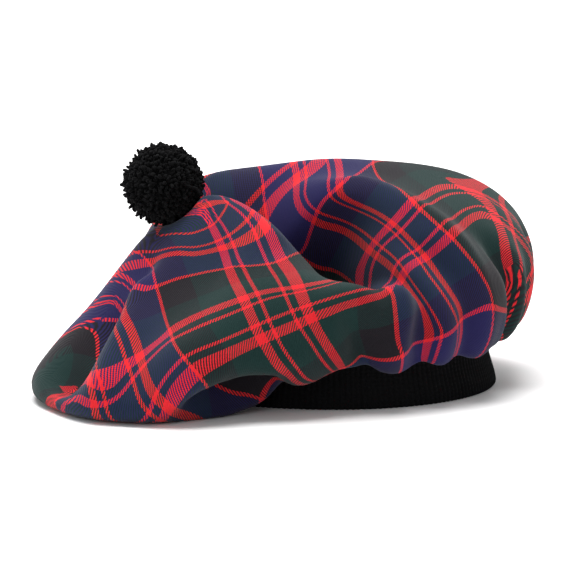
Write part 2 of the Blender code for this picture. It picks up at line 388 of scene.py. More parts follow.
# %% From toorie to headband
def meridians(seam, steps=60):
    """The crown from toorie to headband at each angle.

    Over the top the height falls as a power of the distance run, and under the rim a cubic curve
    drops to the underside's height and comes in to the headband.
    """
    angle = np.radians(seam)[:, None]
    turn = np.radians(round_the_crown("rim", seam))[:, None]
    reach = BAND_RADIUS + CROWN_OVERHANG * round_the_crown("overhang", seam)[:, None]
    rim_z = CROWN_HEIGHT * round_the_crown("rim_height", seam)[:, None]
    low_z = CROWN_HEIGHT * round_the_crown("low", seam)[:, None]
    power = round_the_crown("fullness", seam)[:, None]
    rim_x, rim_y = reach * np.cos(turn), reach * np.sin(turn)

    s = np.sin(np.linspace(0, math.pi / 2, steps))[None, :]
    top_x = SEAT[0] + (rim_x - SEAT[0]) * s
    top_y = SEAT[1] + (rim_y - SEAT[1]) * s
    root = 1 + (power - 1) / SHOULDER
    top_z = rim_z + (CROWN_HEIGHT - rim_z) * np.maximum(1 - s**power, 0) ** (1 / root)
    run = np.hypot(top_x - SEAT[0], top_y - SEAT[1])
    top_z = top_z - SEAT_DIMPLE_DEPTH * np.exp(-((run / SEAT_DIMPLE_RADIUS) ** 2))

    neck_r = BAND_RADIUS - BAND_WAIST + SEAM_LIP
    seam_z = BAND_HEIGHT + SEAM_RISE + CLOTH_WALL / 2
    neck_x, neck_y = neck_r * np.cos(angle), neck_r * np.sin(angle)
    w = np.linspace(0, 1, steps)[None, 1:]
    under = (
        (rim_x, rim_x, neck_x + UNDER_RUN * (rim_x - neck_x), neck_x),
        (rim_y, rim_y, neck_y + UNDER_RUN * (rim_y - neck_y), neck_y),
        (rim_z, low_z + UNDER_BELLY * (rim_z - low_z), low_z, seam_z),
    )
    weights = ((1 - w) ** 3, 3 * w * (1 - w) ** 2, 3 * w**2 * (1 - w), w**3)
    over = np.stack([top_x, top_y, top_z], -1)
    below = np.stack([sum(weight * point for weight, point in zip(weights, axis)) for axis in under], -1)
    return np.concatenate([over, below], axis=1)


def at_shares(lines, shares):
    """Points of each line at the given shares of its length."""
    steps = np.linalg.norm(np.diff(lines, axis=1), axis=2)
    length = np.concatenate([np.zeros((len(lines), 1)), np.cumsum(steps, axis=1)], axis=1)
    points = np.empty((len(lines), len(shares), 3))
    for row, (line, run) in enumerate(zip(lines, length)):
        for axis in range(3):
            points[row, :, axis] = np.interp(shares * run[-1], run, line[:, axis])
    return points


tallest = meridians(np.arange(-180, 180, 30.0))[..., 2].max()
print("plain crown", round(tallest * 1000), "mm tall")

# %% [markdown]
# Folds are ridges and valleys laid over that plain form. Each runs between two points of the cloth
# and rises or sinks as a bell curve of the distance from that line. A few deep places also need a
# push sideways, because a cave or an overhang can't be made by height alone.
#
# A point of the cloth is given by its `seam` angle and its `way`, the share of the length from the
# toorie to the headband. `width` and `depth` are shares of `FOLD_WIDTH` and `FOLD_DEPTH`.

# %% Folds of the crown
FOLD_DEPTH = 0.030
FOLD_WIDTH = 0.026
Fold = namedtuple("Fold", "name seam_a way_a seam_b way_b width depth")
FOLDS = (
    Fold("dent beside the toorie", -26, 0.16, -66, 0.54, 0.95, -1.00),
    Fold("bottom of the dent", -48, 0.42, -66, 0.62, 0.60, -0.66),
    Fold("swell of the top", 6, 0.22, 24, 0.57, 1.70, 0.32),
    Fold("top behind the toorie", 60, 0.12, 18, 0.30, 0.80, 0.09),
    Fold("ridge behind the dent", -4, 0.16, -34, 0.62, 0.50, 0.20),
    Fold("edge above the dent", -20, 0.40, -36, 0.70, 0.34, 0.22),
    Fold("ridge before the dent", -84, 0.14, -90, 0.50, 0.60, 0.14),
    Fold("shoulder before the dent", -64, 0.18, -84, 0.40, 0.42, 0.22),
    Fold("ledge above the front lobe", -128, 0.25, -106, 0.34, 0.34, -0.24),
    Fold("belly of the front lobe", -124, 0.50, -92, 0.62, 0.66, 0.50),
    Fold("swell below the dent", -84, 0.68, -64, 0.72, 0.50, 0.40),
    Fold("crease at the right of the dent", -66, 0.70, -69, 0.84, 0.32, 0.14),
    Fold("top of the pocket", -150, 0.19, -156, 0.30, 0.26, -0.36),
    Fold("pocket in the left slope", -157, 0.32, -158, 0.46, 0.38, -0.86),
    Fold("lip of the pocket", -174, 0.40, -170, 0.56, 0.42, 0.08),
    Fold("wall of the pocket", -142, 0.26, -143, 0.50, 0.36, 0.40),
    Fold("hollow under the front lobe", -121, 0.66, -104, 0.80, 0.42, -0.85),
    Fold("small front hollow", -79, 0.80, -78, 0.90, 0.28, -0.14),
    Fold("tuck at the right", -22, 0.74, -20, 0.90, 0.34, -0.26),
    Fold("tuck at the far right", 12, 0.76, 10, 0.90, 0.34, -0.22),
    Fold("fold at the back left", 130, 0.40, 134, 0.86, 0.60, -0.36),
    Fold("fold at the back", 88, 0.52, 88, 0.88, 0.60, -0.26),
)
Push = namedtuple("Push", "name seam_a way_a seam_b way_b width x y z")
PUSHES = (
    Push("cave of the dent", -46, 0.40, -60, 0.54, 0.52, 0.10, 0.80, -0.20),
    Push("front lobe over its hollow", -122, 0.56, -100, 0.70, 0.40, 0.00, -0.20, -0.10),
)
print(len(FOLDS), "folds and", len(PUSHES), "pushes, up to", FOLD_DEPTH * 1000, "mm")


# %% Folds and gathers as formulas
GATHER_DEPTH = 0.0016
GATHER_COUNT = 20
GATHER_FROM, GATHER_GROWS = 0.62, 0.24
GATHER_TO, GATHER_FADES = 0.985, 0.05


def bell(fold, seam, way):
    """One along the line of a fold and less beside it: e to the minus (distance / width) squared."""
    spot = np.stack([np.cos(np.radians(seam)), np.sin(np.radians(seam))], -1)
    spot = spot * (way * CLOTH_RADIUS)[..., None]
    a, b = (
        CLOTH_RADIUS * share * np.array([math.cos(math.radians(d)), math.sin(math.radians(d))])
        for d, share in ((fold.seam_a, fold.way_a), (fold.seam_b, fold.way_b))
    )
    along = np.clip(((spot - a) @ (b - a)) / ((b - a) @ (b - a)), 0, 1)
    away = np.linalg.norm(spot - a - along[..., None] * (b - a), axis=-1)
    return np.exp(-((away / (FOLD_WIDTH * fold.width)) ** 2))


def gather_height(seam, way):
    """The ruffles where the cloth is drawn in: a cosine round the hat, of uneven pace and height."""
    strength = smooth_step((way - GATHER_FROM) / GATHER_GROWS) * smooth_step((GATHER_TO - way) / GATHER_FADES)
    turn = np.radians(seam)
    phase = GATHER_COUNT * turn + 0.9 * np.sin(3 * turn + 1.0) + 0.7 * np.sin(7 * turn)
    uneven = 1 + 0.35 * np.sin(5 * turn + 0.4)
    return GATHER_DEPTH * strength * uneven * np.cos(phase)


print(GATHER_COUNT, "gathers of", GATHER_DEPTH * 1000, "mm")

# %% Surface of the crown
SPOKES, RINGS = 152, 79
CROWDING = 0.45
SEWN_AT_BAND, SEWN_AT_TOORIE = 0.08, 0.10
TABLE_GAP, TABLE_EASE = 0.0002, 0.0008


def unit_normals(grid):
    """Outward directions of a closed grid: its step outwards crossed with its step round."""
    out = np.gradient(grid, axis=1)
    across = np.roll(grid, -1, axis=0) - np.roll(grid, 1, axis=0)
    normal = np.cross(out, across)
    return normal / np.maximum(np.linalg.norm(normal, axis=2, keepdims=True), 1e-12)


def crown_surface(spokes, rings):
    """The middle of the crown's cloth, as a grid of spokes by rings.

    The rings crowd near the toorie and the headband: a share less a sine of it. Folds fade to
    nothing at both ends, where the cloth is sewn down.
    """
    seam = np.linspace(-180, 180, spokes, endpoint=False)
    even = np.linspace(0, 1, rings)
    way = even - CROWDING * np.sin(2 * math.pi * even) / (2 * math.pi)
    points = at_shares(meridians(seam), way)
    normal = unit_normals(points)
    seams, ways = np.meshgrid(seam, way, indexing="ij")
    sewn_down = smooth_step((1 - ways) / SEWN_AT_BAND) * smooth_step(ways / SEWN_AT_TOORIE)
    lift = FOLD_DEPTH * sum(fold.depth * bell(fold, seams, ways) for fold in FOLDS)
    points = points + normal * (lift * sewn_down + gather_height(seams, ways))[..., None]
    for push in PUSHES:
        share = (bell(push, seams, ways) * sewn_down)[..., None]
        points = points + FOLD_DEPTH * share * np.array([push.x, push.y, push.z])
    return points, seams, ways


def clear_of_toorie(points):
    """The cloth bends away round the toorie: nearer points move out to its radius and half a wall."""
    middle = (TOORIE_LOW + TOORIE_HIGH) / 2 - CENTRE
    clear = (TOORIE_HIGH - TOORIE_LOW).mean() / 2 + CLOTH_WALL / 2
    away = points - middle
    distance = np.linalg.norm(away, axis=-1, keepdims=True)
    return middle + away * np.maximum(clear / distance, 1)


def on_the_table(points):
    """Cloth that would hang below the table lies on it: a soft maximum of its height and the table's."""
    table_z = CLOTH_WALL / 2 + TABLE_GAP
    points[..., 2] = table_z + TABLE_EASE * np.logaddexp(0, (points[..., 2] - table_z) / TABLE_EASE)
    return points


points, seams, ways = crown_surface(SPOKES, RINGS)
points = on_the_table(clear_of_toorie(points))
print("crown grid", points.shape, "top", points[..., 2].max().round(4))

# %% [markdown]
# ## Where the threads run
#
# A tartan shows at once whether cloth lies true. So each point of the crown gets its place on the
# flat cloth by a fit: every small triangle keeps its size and angles as nearly as it can, and a few
# coloured lines are drawn towards the places where the real hat shows them.
#
# `LINES` holds those places. A row names the family of the threads, `u` for the warp or `v` for the
# weft, the line's count in the sett, and a few pixels of the photograph that it passes.

# %% Thread lines that show on the hat
Line = namedtuple("Line", "family sett points")
LINES = (
    Line("u", -105, ((81, 327), (74, 341), (61, 362), (50, 375))),
    Line("u", -97, ((76, 346), (69, 362), (64, 377), (58, 389))),
    Line("u", -45, ((120, 307), (112, 317), (100, 332), (90, 346), (80, 364), (75, 385), (82, 404))),
    Line("u", 17, ((125, 316), (134, 328), (141, 343), (145, 358), (150, 388), (163, 400), (186, 414))),
    Line("u", 45, ((151, 270), (157, 289), (163, 317), (170, 342), (181, 357), (204, 381), (238, 402))),
    Line("u", 97, ((203, 192), (208, 209), (213, 224), (222, 249), (232, 278), (243, 299),
                   (250, 325), (258, 343), (277, 367))),
    Line("u", 105, ((243, 262), (250, 272), (259, 290), (269, 317), (285, 350), (297, 367))),
    Line("u", 123, ((257, 243), (265, 268), (283, 293), (289, 308), (297, 328), (328, 368))),
    Line("u", 131, ((230, 201), (247, 208), (258, 219), (266, 232), (281, 266),
                    (298, 290), (311, 320), (325, 345), (345, 371))),
    Line("u", 183, ((367, 258), (375, 273), (384, 284), (392, 293), (392, 320), (394, 345))),
    Line("u", 211, ((320, 226), (350, 226), (378, 243), (388, 257), (400, 277), (425, 310), (435, 337))),
    Line("u", 219, ((318, 211), (340, 211), (370, 225), (385, 238), (404, 265), (433, 310), (446, 330))),
    Line("u", 237, ((375, 217), (390, 230), (403, 249), (415, 267), (434, 290), (446, 310), (455, 322))),
    Line("u", 245, ((305, 193), (350, 203), (390, 222), (412, 243), (426, 256), (447, 290), (461, 310))),
    Line("u", 273, ((345, 190), (380, 201), (418, 218), (450, 240), (475, 268), (488, 287))),
    Line("u", 325, ((402, 166), (440, 178), (470, 195), (487, 204), (498, 230), (503, 266))),
    Line("u", 333, ((505, 206), (512, 227), (516, 250), (519, 264))),
    Line("v", -45, ((167, 217), (184, 216))),
    Line("v", -17, ((158, 236), (175, 231), (190, 234), (213, 224), (219, 213), (231, 201))),
    Line("v", 17, ((158, 259), (180, 252), (195, 257), (222, 253), (246, 250), (268, 233), (284, 224))),
    Line("v", 17, ((327, 164), (315, 173), (303, 183))),
    Line("v", 45, ((128, 311), (157, 289), (178, 275), (198, 272), (222, 264),
                   (265, 272), (283, 266), (312, 245))),
    Line("v", 45, ((112, 317), (96, 313))),
    Line("v", 45, ((313, 222), (312, 213), (318, 202), (343, 190), (372, 164))),
    Line("v", 97, ((166, 328), (200, 313), (243, 297), (259, 290), (298, 289), (330, 284), (366, 271))),
    Line("v", 97, ((120, 372), (113, 388), (101, 390), (86, 382), (66, 381), (50, 382))),
    Line("v", 97, ((403, 213), (425, 193), (440, 178))),
    Line("v", 105, ((170, 342), (200, 330), (230, 318), (262, 302), (283, 295))),
    Line("v", 105, ((96, 398), (88, 393), (80, 392), (70, 396))),
    Line("v", 123, ((181, 357), (220, 341), (250, 326), (269, 317), (304, 303), (340, 294), (385, 290))),
    Line("v", 131, ((165, 398), (192, 368), (225, 354), (258, 343), (297, 328),
                    (311, 320), (350, 305), (390, 296))),
    Line("v", 131, ((392, 292), (400, 278), (426, 256), (450, 241), (470, 218), (487, 204))),
    Line("v", 183, ((250, 402), (266, 387), (275, 374))),
    Line("v", 183, ((393, 345), (420, 344), (447, 333), (463, 315), (478, 306), (493, 296))),
    Line("v", 183, ((503, 268), (519, 264), (531, 257))),
)
print(len(LINES), "stretches of thread line")


# %% Which triangle the camera sees
def grid_triangles(spokes, rings):
    """Two triangles for each square of a grid that closes on itself from spoke to spoke."""
    index = np.arange(spokes * rings).reshape(spokes, rings)
    after = np.roll(index, -1, axis=0)
    a, b, c, d = index[:, :-1], index[:, 1:], after[:, 1:], after[:, :-1]
    return np.concatenate(
        [np.stack([a, b, c], -1).reshape(-1, 3), np.stack([a, c, d], -1).reshape(-1, 3)]
    )


def seen_from_camera(points, triangles, pixel):
    """The triangle nearest to the camera under a pixel, and the pixel's weights in it.

    A corner's weight is the area that the pixel makes with the other two corners, over the whole.
    """
    flat, depth = to_pixels(points)
    a, b, c = (flat[triangles[:, k]] for k in range(3))
    ab, ac, ap = b - a, c - a, np.array(pixel) - a
    area = ab[:, 0] * ac[:, 1] - ab[:, 1] * ac[:, 0]
    area = np.where(np.abs(area) < 1e-9, 1e-9, area)
    wb = (ap[:, 0] * ac[:, 1] - ap[:, 1] * ac[:, 0]) / area
    wc = (ab[:, 0] * ap[:, 1] - ab[:, 1] * ap[:, 0]) / area
    wa = 1 - wb - wc
    inside = (wa >= -1e-6) & (wb >= -1e-6) & (wc >= -1e-6)
    if not inside.any():
        return None
    distance = (depth[triangles] * np.stack([wa, wb, wc], 1)).sum(1)
    best = np.where(inside, distance, np.inf).argmin()
    return best, np.array([wa[best], wb[best], wc[best]])


def along(points, step=5.0):
    """A broken line's points and others between them, about a step of pixels apart."""
    laid = [points[0]]
    for a, b in zip(points, points[1:]):
        pieces = max(1, round(math.dist(a, b) / step))
        laid += [tuple(np.array(a) + (np.array(b) - a) * k / pieces) for k in range(1, pieces + 1)]
    return laid


triangles = grid_triangles(SPOKES, RINGS)[:, ::-1]
print(len(triangles), "triangles")

# %% [markdown]
# A round of the fit turns each triangle's own flat copy to agree best with where its corners now lie.
# Then one large set of sums moves all the corners so that every edge agrees as nearly as it can. A line
# that misses its place by more than `DOUBT` counts is trusted less, because there the modelled cloth
# and the real one differ. The first rounds doubt less, so that the lines can still travel.

# %% Fit of the threads
DOUBT = 14.0
DOUBTING_ROUNDS = 4
LEAST_WEIGHT, MOST_WEIGHT = 0.02, 20
SOLVER_STEPS, SOLVER_GOAL = 300, 1e-8


def lay_threads(points, triangles, start, rounds, pull):
    """Places on the flat cloth, as complex numbers in metres, from a first guess of them.

    An edge weighs half the cotangent of the angle across from it. A point of a thread line weighs
    pull / (1 + (miss / doubt) squared), so with no pull only the shape counts.
    """
    p = points[triangles]
    edge = p[:, [1, 2, 0]] - p
    x_axis = edge[:, 0] / np.linalg.norm(edge[:, 0], axis=1, keepdims=True).clip(1e-9)
    normal = np.cross(edge[:, 0], -edge[:, 2])
    normal /= np.linalg.norm(normal, axis=1, keepdims=True).clip(1e-12)
    y_axis = np.cross(normal, x_axis)
    local = np.einsum("tij,tj->ti", edge, x_axis) + 1j * np.einsum("tij,tj->ti", edge, y_axis)
    opposite = -np.roll(local, -1, axis=1) * np.conj(np.roll(local, -2, axis=1))
    cotangent = opposite.real / np.abs(opposite.imag).clip(1e-12)
    weight = np.clip(cotangent, LEAST_WEIGHT, MOST_WEIGHT) / 2
    i, j, count = triangles, triangles[:, [1, 2, 0]], len(points)

    rows = []
    for line in LINES:
        for pixel in along(line.points):
            hit = seen_from_camera(points, triangles, pixel)
            if hit:
                rows.append((line.family, line.sett * UNIT, triangles[hit[0]], hit[1]))

    def at_points(edges):
        """What edges bring to the points where they end, less what they take where they start."""
        return np.bincount(j.ravel(), edges.ravel(), count) - np.bincount(i.ravel(), edges.ravel(), count)

    def solve(right, family, x, doubt):
        """One coordinate of every point, by conjugate gradients from the present one."""
        held = [row[1:] for row in rows if row[0] == family]
        value, index, w = (np.array(part) for part in zip(*held))
        miss = ((x[index] * w).sum(1) - value) / UNIT
        trust = pull / (1 + (miss / doubt) ** 2)

        def at_lines(amount):
            """What the thread lines bring to the corners of the triangles that they cross."""
            return np.bincount(index.ravel(), (amount[:, None] * w).ravel(), count)

        def apply(x):
            """The left side of the sums: every edge's difference and every line's present place."""
            return at_points(weight * (x[j] - x[i])) + at_lines((x[index] * w).sum(1) * trust)

        diagonal = np.bincount(i.ravel(), weight.ravel(), count)
        diagonal += np.bincount(j.ravel(), weight.ravel(), count) + 1e-9
        residual = right + at_lines(value * trust) - apply(x)
        z = residual / diagonal
        direction, norm = z.copy(), residual @ z
        first = norm
        for _ in range(SOLVER_STEPS):
            moved = apply(direction)
            step = norm / (direction @ moved)
            x = x + step * direction
            residual -= step * moved
            z = residual / diagonal
            new = residual @ z
            if new < SOLVER_GOAL * first:
                break
            direction = z + (new / norm) * direction
            norm = new
        return x

    place = start
    for left in range(rounds, 0, -1):
        now = place[j] - place[i]
        turn = (weight * np.conj(local) * now).sum(1)
        turn /= np.abs(turn).clip(1e-15)
        wanted = weight * local * turn[:, None]
        doubt = DOUBT * max(1, left - DOUBTING_ROUNDS)
        across = solve(at_points(wanted.real), "u", place.real, doubt)
        place = across + 1j * solve(at_points(wanted.imag), "v", place.imag, doubt)
    scale = np.abs(place[j] - place[i]) / np.abs(local).clip(1e-9)
    print("cloth scale: median", np.median(scale).round(3), "5-95%", np.percentile(scale, [5, 95]).round(2))
    return place


TOORIE_ON_SETT = 165 - 60j
PLAIN_ROUNDS, THREAD_ROUNDS, THREAD_PULL = 8, 12, 1.2
start = TOORIE_ON_SETT * UNIT + CLOTH_RADIUS * (ways * np.exp(-1j * np.radians(seams))).reshape(-1)
plain_place = lay_threads((points + CENTRE).reshape(-1, 3), triangles, start, PLAIN_ROUNDS, 0.0)

# %% [markdown]
# ## Letting the cloth settle
#
# Wool cloth bends easily but hardly stretches. Where the folds drawn above left the surface longer
# than the flat cloth it must pull in, and where they left it shorter it must fold. So the cloth is
# simulated: each small step pulls every edge towards its length on the flat cloth, keeps the cloth off
# the table, the headband and the toorie, and lets it sag, while a weak pull holds the overall shape.
#
# An edge aims at no more than a little under or over its drawn length, and under the rim hardly over,
# so that the cloth doesn't bunch there. A grid with every second spoke and ring settles first, which
# moves the wide folds, and then the fine grid does.

# %% Edges of the cloth
SAG = 0.00002
SHAPE_PULL = 0.04
OUTLINE_PULL = 0.4
STRETCH, SQUASH, BEND = 0.9, 0.35, 0.25
SHEAR_STRETCH, SHEAR_SQUASH = 0.5, 0.25
SHORTEST, EXTRA_LENGTH = 0.88, 0.20
UNDER_FROM, UNDER_EASE, UNDER_TIGHTER = 0.56, 0.12, 0.7
SPEED_KEPT = 0.85
BAND_GAP, BAND_TOP = 0.0005, 0.001
OUTLINE_FROM = 0.35
FAR_OUT, FAR_OUT_EASE = 0.045, 0.020


def cloth_edges(place, now):
    """Edges in groups that share no point, each with its length on the flat cloth and its stiffness.

    They run outwards, round, along both diagonals, and past one point either way, against bending.
    """
    spokes, rings = place.shape
    index = np.arange(spokes * rings).reshape(spokes, rings)
    after, over = np.roll(index, -1, axis=0), np.roll(index, -2, axis=0)
    flat, shape = place.ravel(), now.reshape(-1, 3)
    spoke = np.arange(spokes)[:, None] + 0 * index
    ring = np.arange(rings)[None] + 0 * index
    kinds = (
        (index[:, :-1], index[:, 1:], ring[:, :-1] % 2, STRETCH, SQUASH),
        (index, after, spoke % 2, STRETCH, SQUASH),
        (index[:, :-1], after[:, 1:], spoke[:, :-1] % 2, SHEAR_STRETCH, SHEAR_SQUASH),
        (index[:, 1:], after[:, :-1], spoke[:, :-1] % 2, SHEAR_STRETCH, SHEAR_SQUASH),
        (index[:, :-2], index[:, 2:], ring[:, :-2] % 4 // 2, 0.0, BEND),
        (index, over, spoke % 4 // 2, 0.0, BEND),
    )
    under = smooth_step((np.arange(rings) / rings - UNDER_FROM) / UNDER_EASE)
    longest = 1 + EXTRA_LENGTH * (1 - UNDER_TIGHTER * under)
    groups = []
    for start, end, colour, stretch, squash in kinds:
        for chosen in (0, 1):
            a, b = start[colour == chosen], end[colour == chosen]
            length = np.linalg.norm(shape[b] - shape[a], axis=1)
            rest = np.clip(np.abs(flat[b] - flat[a]), SHORTEST * length, longest[a % rings] * length)
            groups.append((a, b, rest[:, None], stretch, squash))
    return groups


def keep_clear(points):
    """Cloth stays above the table, outside the toorie and outside the headband."""
    points = clear_of_toorie(points)
    points[:, 2] = np.maximum(points[:, 2], CLOTH_WALL / 2 + TABLE_GAP)
    wall = BAND_RADIUS - waist(points[:, 2]) + CLOTH_WALL / 2 + BAND_GAP
    radius = np.hypot(points[:, 0], points[:, 1])
    inside = (points[:, 2] < BAND_HEIGHT - BAND_TOP) & (radius < wall)
    points[inside, :2] *= (wall / radius)[inside, None]
    return points


def shape_hold(grid):
    """How firmly each point keeps its place: a weak pull plus the greater of two firm ones.

    One is the fourth power of how edge-on the cloth is to the camera, above the table. The other is a
    smooth step of the distance from the headband.
    """
    edge_on = 1 - np.abs(unit_normals(grid) @ look)
    high = grid[..., 2] > OUTLINE_FROM * BAND_HEIGHT
    far_out = smooth_step((np.hypot(grid[..., 0], grid[..., 1]) - BAND_RADIUS - FAR_OUT) / FAR_OUT_EASE)
    return SHAPE_PULL + OUTLINE_PULL * np.maximum(np.clip(edge_on, 0, 1) ** 4 * high, far_out)


coarse, coarse_place = points[::2, ::2], plain_place.reshape(SPOKES, RINGS)[::2, ::2]
print(sum(len(group[0]) for group in cloth_edges(coarse_place, coarse)), "edges in the coarse grid")


# %% Steps of the cloth
def settle(grid, place, steps):
    """Moves a grid of cloth in small steps, each from speed, sag, hold, edges and what is in the way.

    The first twentieth of the rings, at the toorie, and the last two, at the headband, stay.
    """
    shape = grid.reshape(-1, 3)
    groups = cloth_edges(place, grid)
    hold = shape_hold(grid).reshape(-1, 1)
    free = np.ones(grid.shape[:2])
    free[:, : grid.shape[1] // 20] = 0
    free[:, -2:] = 0
    free = free.reshape(-1, 1)
    now, speed = shape.copy(), np.zeros_like(shape)
    for _ in range(steps):
        before = now.copy()
        now = now + free * (SPEED_KEPT * speed - [0, 0, SAG] + hold * (shape - now))
        for a, b, rest, stretch, squash in groups:
            apart = now[b] - now[a]
            length = np.sqrt((apart**2).sum(1, keepdims=True))
            stiff = np.where(length > rest, stretch, squash)
            pull = stiff * (length - rest) / (length * (free[a] + free[b]) + 1e-9) * apart
            now[a] += free[a] * pull
            now[b] -= free[b] * pull
        now = free * keep_clear(now) + (1 - free) * shape
        speed = now - before
    moved = np.linalg.norm(now - shape, axis=1) * 1000
    print("settled: moved", moved.mean().round(2), "mm on average,", moved.max().round(1), "mm at most")
    return now.reshape(grid.shape)


def between(coarse):
    """A grid with a new row and column between each two, at the middle of a cubic curve."""
    around = np.stack([np.roll(coarse, k, axis=0) for k in (1, 0, -1, -2)])
    middle = np.tensordot([-1, 9, 9, -1], around, 1) / 16
    rows = np.stack([coarse, middle], 1).reshape(-1, *coarse.shape[1:])
    ends = np.concatenate([2 * rows[:, :1] - rows[:, 1:2], rows, 2 * rows[:, -1:] - rows[:, -2:-1]], 1)
    middle = (9 * (ends[:, 1:-2] + ends[:, 2:-1]) - ends[:, :-3] - ends[:, 3:]) / 16
    grid = np.empty((rows.shape[0], 2 * rows.shape[1] - 1, 3))
    grid[:, ::2], grid[:, 1::2] = rows, middle
    return grid


COARSE_STEPS, FINE_STEPS = 200, 60
moved = settle(coarse, coarse_place, COARSE_STEPS) - coarse
points = keep_clear((points + between(moved)).reshape(-1, 3)).reshape(points.shape)
points = settle(points, plain_place.reshape(SPOKES, RINGS), FINE_STEPS)
place = lay_threads((points + CENTRE).reshape(-1, 3), triangles, start, THREAD_ROUNDS, THREAD_PULL)

# %% [markdown]
# The grid becomes a mesh, with the thread places as its UV map, which the tartan reads. Subdivision
# rounds it and Solidify gives the cloth its thickness, half to each side. The first ring is all at
# the toorie's seat, so a fan of triangles closes the middle from the second ring.


# %% Crown mesh
def cloth_mesh(name, grid, place):
    """A mesh from a closed grid of spokes by rings, with its thread places in a UV map."""
    middle, middle_place = grid[:, 0].mean(0), place[:, 0].mean()
    grid, place = grid[:, 1:], place[:, 1:]
    spokes, rings = place.shape
    index = np.arange(spokes * rings).reshape(spokes, rings)
    after = np.roll(index, -1, axis=0)
    quads = np.stack([index[:, :-1], index[:, 1:], after[:, 1:], after[:, :-1]], -1).reshape(-1, 4)
    fan = np.stack([np.full(spokes, spokes * rings), index[:, 0], after[:, 0]], -1)
    mesh = bpy.data.meshes.new(name)
    mesh.from_pydata([*grid.reshape(-1, 3).tolist(), middle.tolist()], [], fan.tolist() + quads.tolist())
    where = np.append(place, middle_place) / UNIT
    loops = np.empty(len(mesh.loops), int)
    mesh.loops.foreach_get("vertex_index", loops)
    layer = mesh.uv_layers.new(name="cloth")
    layer.data.foreach_set("uv", np.stack([where[loops].real, where[loops].imag], 1).ravel())
    mesh.shade_smooth()
    return mesh


def add_piece(name, mesh, material, node):
    """Puts a finished piece in the scene, where it rides the hat and stands for one node."""
    piece = bpy.data.objects.new(name, mesh)
    bpy.context.scene.collection.objects.link(piece)
    mesh.materials.append(material)
    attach(piece, "root")
    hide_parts(node)
    return piece


crown_cloth = cloth_mesh("crown_cloth", points + CENTRE, place.reshape(SPOKES, RINGS))
crown = add_piece("crown_cloth", crown_cloth, tartan_cloth, "crown")
fine = crown.modifiers.new("Fine", "SUBSURF")
fine.levels = fine.render_levels = 1
wall = crown.modifiers.new("Wall", "SOLIDIFY")
wall.thickness = CLOTH_WALL
wall.offset = 0
length = np.linalg.norm(np.diff(points, axis=1), axis=2).sum(1).mean()
print("crown", len(crown_cloth.polygons), "faces before the modifiers, mean length", length.round(4))

# %% [markdown]
# ## The headband
#
# A thick one by one rib: round cords of knitting with grooves between them, drawn in at the waist and
# rolled round at the hem. Its profile is turned round the head opening, and the cords swell it and
# pinch it as it goes.

# %% Headband
RIB_COUNT = 184
RIB_DEPTH = 0.0008
RIB_POINTS = 8
RIB_ROUNDNESS = 0.6
EDGE_DEPTH = 0.6 * RIB_DEPTH


def closed_grid(name, grid):
    """A mesh from a grid of points that closes on itself both ways."""
    turns, steps = grid.shape[:2]
    index = np.arange(turns * steps).reshape(turns, steps)
    right, down = np.roll(index, -1, axis=0), np.roll(index, -1, axis=1)
    both = np.roll(right, -1, axis=1)
    quads = np.stack([index, right, both, down], -1).reshape(-1, 4)
    mesh = bpy.data.meshes.new(name)
    mesh.from_pydata(grid.reshape(-1, 3).tolist(), [], quads.tolist())
    mesh.shade_smooth()
    return mesh


def headband_profile():
    """Radius and height of the wall's outline: two sides and two half rounds of half a wall."""
    half = BAND_WALL / 2
    rise = np.linspace(half, BAND_HEIGHT - half, 15)
    middle = BAND_RADIUS - half - waist(rise)
    around = np.linspace(0, math.pi, 8)[1:-1]
    top_r, top_z = middle[-1] + half * np.cos(around), rise[-1] + half * np.sin(around)
    hem_r, hem_z = middle[0] - half * np.cos(around), rise[0] - half * np.sin(around)
    radius = np.concatenate([middle + half, top_r, (middle - half)[::-1], hem_r])
    height = np.concatenate([rise, top_z, rise[::-1], hem_z])
    return radius, height


def headband_grid():
    """The profile at each angle, sunk between the cords by one less a power of a sine's size.

    A slow sway shifts the cords a little to either side, as in real knitting.
    """
    turn = np.linspace(0, 2 * math.pi, RIB_COUNT * RIB_POINTS, endpoint=False)[:, None]
    radius, height = (values[None, :] for values in headband_profile())
    sway = 0.25 * np.sin(9 * turn) + 0.18 * np.sin(23 * turn + 1) * height / BAND_HEIGHT
    cord = np.abs(np.sin(RIB_COUNT / 2 * turn + sway)) ** RIB_ROUNDNESS
    middle = BAND_RADIUS - BAND_WALL / 2 - waist(height)
    side = np.clip((radius - middle) / (BAND_WALL / 2), -1, 1)
    radius = radius - RIB_DEPTH * (1 - cord) * side
    height = height + EDGE_DEPTH * (1 - cord) * (1 - np.abs(side)) * np.sign(0.5 * BAND_HEIGHT - height)
    grid = np.stack([radius * np.cos(turn), radius * np.sin(turn), height + 0 * turn], -1)
    return grid + CENTRE


def rib_knit():
    """Black yarn: a wave of knitted rows up the band, and fine noise for its fuzz."""
    black = (0.0034, 0.0034, 0.0038, 1)
    material, tree, shader = new_material("rib_knit", Base_Color=black, Roughness=0.9)
    shader.inputs["Specular IOR Level"].default_value = 0.08
    place = Socket(tree, tree.nodes.new("ShaderNodeTexCoord").outputs["Object"])
    fuzz = make_node(tree, "ShaderNodeTexNoise", {}, {"Vector": place, "Scale": 2600.0, "Detail": 2.0})
    wave = {"Vector": place, "Scale": 160.0, "Distortion": 1.5}
    rows = make_node(tree, "ShaderNodeTexWave", {"bands_direction": "Z"}, wave)
    relief = {"Strength": 0.6, "Distance": 0.0003, "Height": fuzz * 0.5 + rows}
    bump = make_node(tree, "ShaderNodeBump", {}, relief)
    connect(tree, bump, shader, "Normal")
    return material


headband_mesh = closed_grid("knitted_headband", headband_grid())
headband = add_piece("knitted_headband", headband_mesh, rib_knit(), "headband")
2 * math.pi * (BAND_RADIUS - BAND_WAIST / 2)
print("headband", len(headband.data.polygons), "faces")

